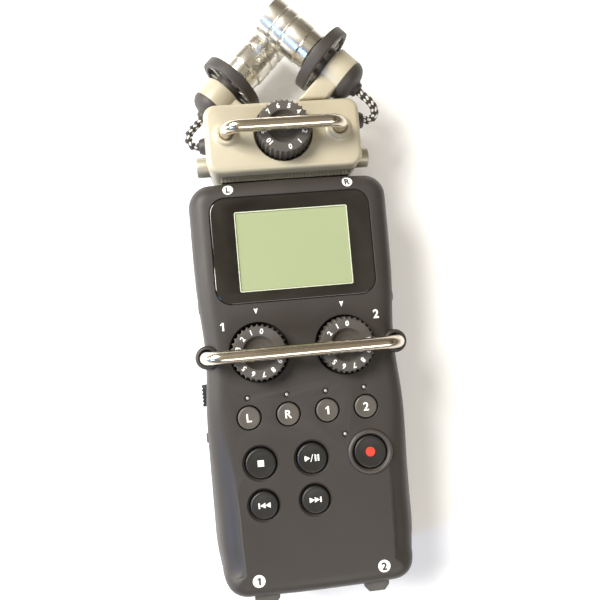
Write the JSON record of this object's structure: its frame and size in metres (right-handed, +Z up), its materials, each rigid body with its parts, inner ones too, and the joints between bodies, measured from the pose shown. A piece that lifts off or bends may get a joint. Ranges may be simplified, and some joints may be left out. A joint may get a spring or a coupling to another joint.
{
  "type": "portable field recorder",
  "caption": "Portable audio field recorder with crossed microphones on a detachable module, level dials under guard bars, a screen, transport keys and combination input jacks.",
  "frame": {"origin": "on the table plane under the centre of the bounding box, with the recorder lying on its back", "axes": "+Z up out of the screen, +Y towards the microphones, +X to the right seen from the front"},
  "size_m": [0.0668, 0.1929, 0.0421],
  "materials": {
    "soft_touch": "fine soft-touch coating",
    "glossy_window": "polished black",
    "liquid_crystal": "pale green",
    "circuit_board": "green solder mask",
    "chrome": "polished",
    "black_plastic": "moulded",
    "contact_metal": "plated sheet",
    "dial_plastic": "moulded, numerals printed in white",
    "grey_key": "satin key cap",
    "black_key": "satin key cap",
    "ring_plastic": "moulded",
    "silicone": "keypad silicone",
    "light_pipe": "clear resin",
    "cell_sleeve": "printed sleeve",
    "brass": "machined",
    "screw_steel": "black zinc",
    "champagne": "satin",
    "ridge_plastic": "moulded",
    "satin_metal": "satin",
    "rubber": "moulded rubber",
    "mesh": "woven mesh",
    "braid": "black and white braid",
    "card_plastic": "moulded"
  },
  "bodies": {
    "recorder": {"front_shell": "soft_touch", "rear_shell": "soft_touch", "display_window": "glossy_window", "lcd_panel": "liquid_crystal", "main_board": "circuit_board", "guard_bar": "chrome", "combo_jack_1": "black_plastic", "combo_jack_2": "black_plastic", "output_jacks": "black_plastic", "usb_port": "contact_metal", "sd_socket": "contact_metal", "button_membrane": "silicone", "status_lights": "light_pipe", "input_pots": "contact_metal", "speaker": "black_plastic", "battery_contacts": "contact_metal", "batteries": "cell_sleeve", "tripod_insert": "brass", "case_screws": "screw_steel", "module_socket": "black_plastic", "record_ring": "ring_plastic", "sd_card": "card_plastic"},
    "mic_module": {"module_front": "champagne", "module_rear": "champagne", "module_plug": "ridge_plastic", "module_guard_bar": "chrome", "gain_pot": "contact_metal", "mic_cradle_left": "champagne", "mic_cradle_right": "champagne", "shock_mount_left": "rubber", "shock_mount_right": "rubber", "mic_head_left": "chrome", "mic_head_right": "chrome", "mic_grilles": "mesh", "cable_boots": "rubber", "strain_reliefs": "rubber", "braided_lead_left": "braid", "braided_lead_right": "braid"},
    "dial_1": {"input_dial_1": "dial_plastic"},
    "dial_2": {"input_dial_2": "dial_plastic"},
    "key_l": {"track_button_l": "grey_key"},
    "key_r": {"track_button_r": "grey_key"},
    "key_1": {"track_button_1": "grey_key"},
    "key_2": {"track_button_2": "grey_key"},
    "key_stop": {"stop_button": "black_key"},
    "key_play": {"play_button": "black_key"},
    "key_record": {"record_button": "black_key"},
    "key_rewind": {"rewind_button": "black_key"},
    "key_forward": {"forward_button": "black_key"},
    "volume": {"volume_wheel": "black_plastic"},
    "power": {"power_switch": "black_plastic"},
    "menu": {"menu_button": "black_plastic"},
    "scroll": {"scroll_wheel": "black_plastic"},
    "card_door": {"sd_door": "soft_touch"},
    "cell_cover": {"battery_cover": "soft_touch"},
    "latch_1": {"jack_latch_1": "soft_touch"},
    "latch_2": {"jack_latch_2": "soft_touch"},
    "unlock_left": {"unlock_button_left": "satin_metal"},
    "unlock_right": {"unlock_button_right": "satin_metal"},
    "dial_gain": {"gain_dial": "dial_plastic"}
  },
  "joints": [
    {"name": "input_level_1", "type": "hinge", "parent": "recorder", "child": "dial_1", "pos_m": [-0.01354, -0.01765, 0.036], "axis": [0, 0, -1], "range_deg": [0, 300]},
    {"name": "input_level_2", "type": "hinge", "parent": "recorder", "child": "dial_2", "pos_m": [0.01354, -0.01765, 0.036], "axis": [0, 0, -1], "range_deg": [0, 300]},
    {"name": "press_l", "type": "slide", "parent": "recorder", "child": "key_l", "axis": [0, 0, -1], "range_m": [0, 0.0008], "stiffness_N_per_m": 250},
    {"name": "press_r", "type": "slide", "parent": "recorder", "child": "key_r", "axis": [0, 0, -1], "range_m": [0, 0.0008], "stiffness_N_per_m": 250},
    {"name": "press_1", "type": "slide", "parent": "recorder", "child": "key_1", "axis": [0, 0, -1], "range_m": [0, 0.0008], "stiffness_N_per_m": 250},
    {"name": "press_2", "type": "slide", "parent": "recorder", "child": "key_2", "axis": [0, 0, -1], "range_m": [0, 0.0008], "stiffness_N_per_m": 250},
    {"name": "press_stop", "type": "slide", "parent": "recorder", "child": "key_stop", "axis": [0, 0, -1], "range_m": [0, 0.0008], "stiffness_N_per_m": 250},
    {"name": "press_play", "type": "slide", "parent": "recorder", "child": "key_play", "axis": [0, 0, -1], "range_m": [0, 0.0008], "stiffness_N_per_m": 250},
    {"name": "press_record", "type": "slide", "parent": "recorder", "child": "key_record", "axis": [0, 0, -1], "range_m": [0, 0.0008], "stiffness_N_per_m": 250},
    {"name": "press_rewind", "type": "slide", "parent": "recorder", "child": "key_rewind", "axis": [0, 0, -1], "range_m": [0, 0.0008], "stiffness_N_per_m": 250},
    {"name": "press_forward", "type": "slide", "parent": "recorder", "child": "key_forward", "axis": [0, 0, -1], "range_m": [0, 0.0008], "stiffness_N_per_m": 250},
    {"name": "headphone_volume", "type": "hinge", "parent": "recorder", "child": "volume", "pos_m": [-0.0271, -0.04475, 0.0175], "axis": [0, 1, 0], "range_deg": [0, 280]},
    {"name": "power_hold", "type": "slide", "parent": "recorder", "child": "power", "axis": [0, 1, 0], "range_m": [-0.0025, 0.0025]},
    {"name": "press_menu", "type": "slide", "parent": "recorder", "child": "menu", "axis": [-1, 0, 0], "range_m": [0, 0.0006], "stiffness_N_per_m": 250},
    {"name": "scroll", "type": "hinge", "parent": "recorder", "child": "scroll", "pos_m": [0.0263, 0.01125, 0.018], "axis": [0, 0, 1], "continuous": true},
    {"name": "card_door_hinge", "type": "hinge", "parent": "recorder", "child": "card_door", "pos_m": [0.0314, -0.05615, 0.018], "axis": [0, 0, -1], "range_deg": [0, 100]},
    {"name": "cell_cover_hinge", "type": "hinge", "parent": "recorder", "child": "cell_cover", "pos_m": [0, 0.02545, 0.001], "axis": [1, 0, 0], "range_deg": [0, 100]},
    {"name": "release_1", "type": "slide", "parent": "recorder", "child": "latch_1", "axis": [0, 1, 0], "range_m": [0, 0.0012], "stiffness_N_per_m": 250},
    {"name": "release_2", "type": "slide", "parent": "recorder", "child": "latch_2", "axis": [0, 1, 0], "range_m": [0, 0.0012], "stiffness_N_per_m": 250},
    {"name": "module_pull", "type": "slide", "parent": "recorder", "child": "mic_module", "axis": [0, 1, 0], "range_m": [0, 0.012]},
    {"name": "unlock_press_left", "type": "slide", "parent": "mic_module", "child": "unlock_left", "axis": [1, 0, 0], "range_m": [0, 0.0015], "stiffness_N_per_m": 250},
    {"name": "unlock_press_right", "type": "slide", "parent": "mic_module", "child": "unlock_right", "axis": [-1, 0, 0], "range_m": [0, 0.0015], "stiffness_N_per_m": 250},
    {"name": "mic_level", "type": "hinge", "parent": "mic_module", "child": "dial_gain", "pos_m": [0, 0.05135, 0.036], "axis": [0, 0, -1], "range_deg": [-150, 150]}
  ]
}
